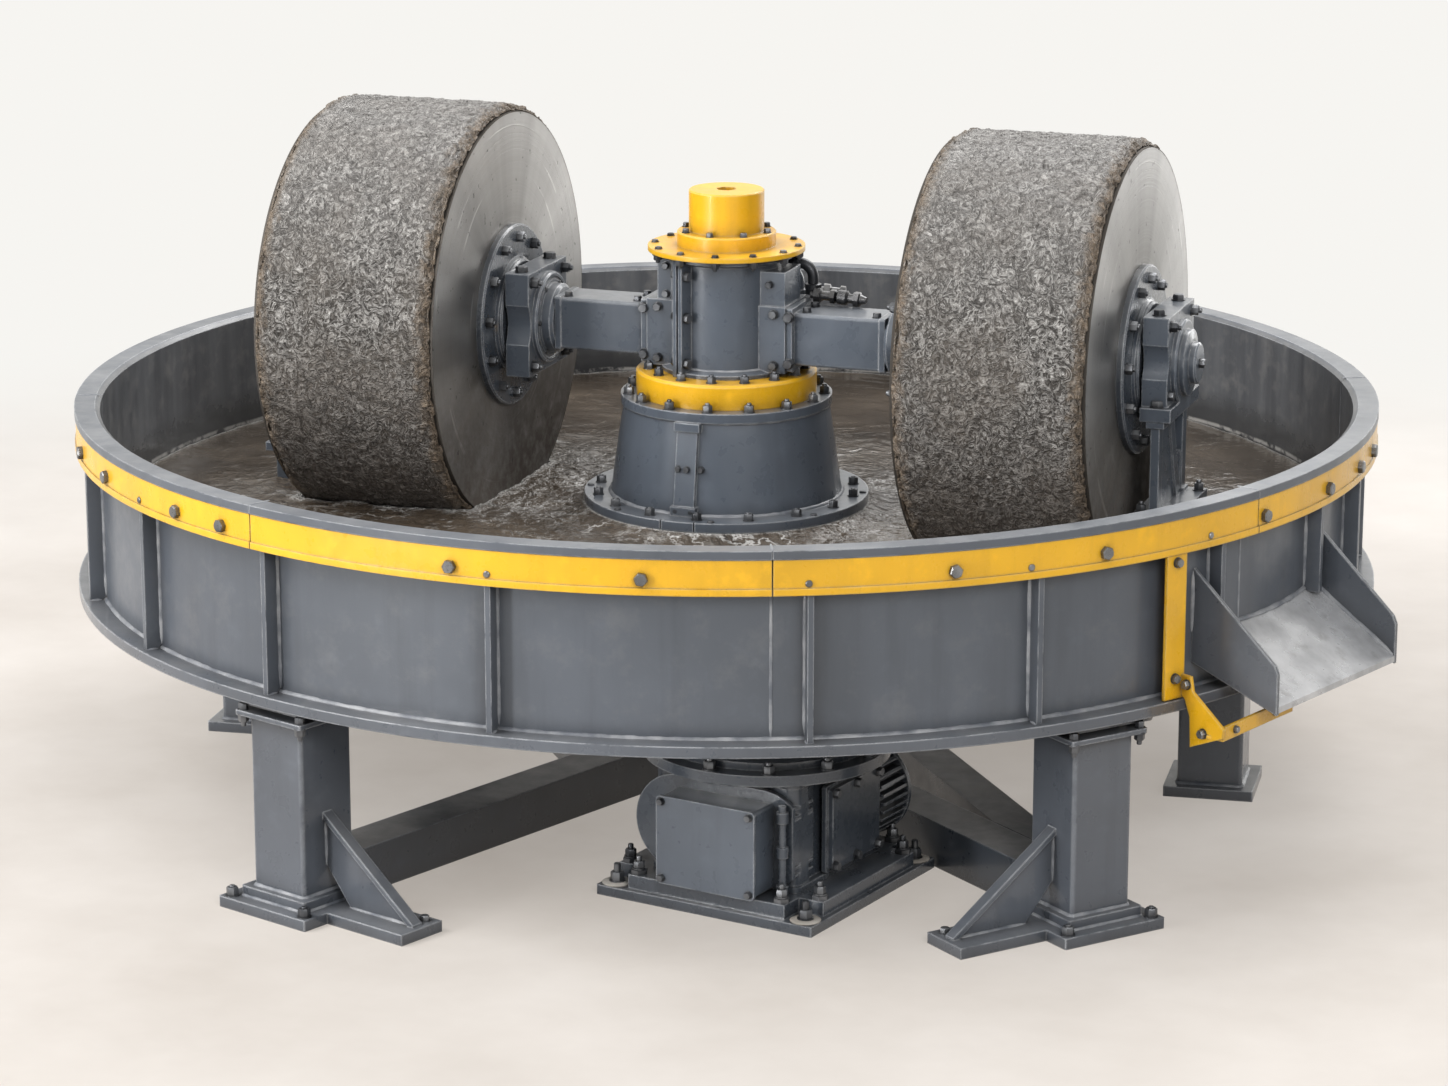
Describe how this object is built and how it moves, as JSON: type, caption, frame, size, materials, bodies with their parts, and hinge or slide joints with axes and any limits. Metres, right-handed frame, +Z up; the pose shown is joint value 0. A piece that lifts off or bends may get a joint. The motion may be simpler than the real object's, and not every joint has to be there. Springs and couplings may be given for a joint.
{
  "type": "wet pan mill",
  "caption": "Round steel pan on legs with stone-tyred rollers on a cross arm round a centre column, a side discharge chute and a drive unit beneath.",
  "frame": {"origin": "on the floor under the pan's axis, at the underside of the long floor beam", "axes": "+Z up; X along the roller axle; -Y towards the front, +X towards the chute side"},
  "size_m": [3.3544, 3.2118, 1.626],
  "materials": {
    "grey_paint": "satin blue-grey paint with worn edges",
    "yellow_paint": "satin yellow paint",
    "tyre_stone": "rough stone chips",
    "disc_steel": "circular brushed",
    "worn_steel": "scoured bare steel"
  },
  "bodies": {
    "frame": {"pan_floor": "grey_paint", "floor_liner": "worn_steel", "wall_front": "grey_paint", "wall_front_right": "grey_paint", "wall_right": "grey_paint", "wall_back_right": "grey_paint", "wall_back": "grey_paint", "wall_back_left": "grey_paint", "wall_left": "grey_paint", "wall_front_left": "grey_paint", "guard_band": "yellow_paint", "column_cone": "grey_paint", "bearing_ring": "yellow_paint", "column_housing": "grey_paint", "column_head": "yellow_paint", "grease_pipe": "grey_paint", "left_arm": "grey_paint", "right_arm": "grey_paint", "left_inner_bearing": "grey_paint", "right_inner_bearing": "grey_paint", "left_outer_bearing": "grey_paint", "right_outer_bearing": "grey_paint", "left_pedestal": "grey_paint", "right_pedestal": "grey_paint", "chute_floor": "worn_steel", "chute_left_cheek": "grey_paint", "chute_right_cheek": "grey_paint", "chute_brace": "yellow_paint", "leg_front_left": "grey_paint", "leg_front_right": "grey_paint", "leg_back_right": "grey_paint", "leg_back_left": "grey_paint", "side_legs": "grey_paint", "floor_beams": "grey_paint", "drive_base_plate": "grey_paint", "gear_case": "grey_paint", "drive_flange": "grey_paint", "terminal_box": "grey_paint", "conduit": "grey_paint", "inspection_cover": "grey_paint"},
    "left_roller": {"left_tread": "tyre_stone", "left_inner_disc": "disc_steel", "left_outer_disc": "disc_steel", "left_axle": "grey_paint"},
    "right_roller": {"right_tread": "tyre_stone", "right_inner_disc": "disc_steel", "right_outer_disc": "disc_steel", "right_axle": "grey_paint"}
  },
  "joints": [
    {"name": "left_roller_spin", "type": "hinge", "parent": "frame", "child": "left_roller", "pos_m": [-0.81, 0, 1.096], "axis": [1, 0, 0], "continuous": true},
    {"name": "right_roller_spin", "type": "hinge", "parent": "frame", "child": "right_roller", "pos_m": [0.81, 0, 1.096], "axis": [1, 0, 0], "continuous": true}
  ]
}
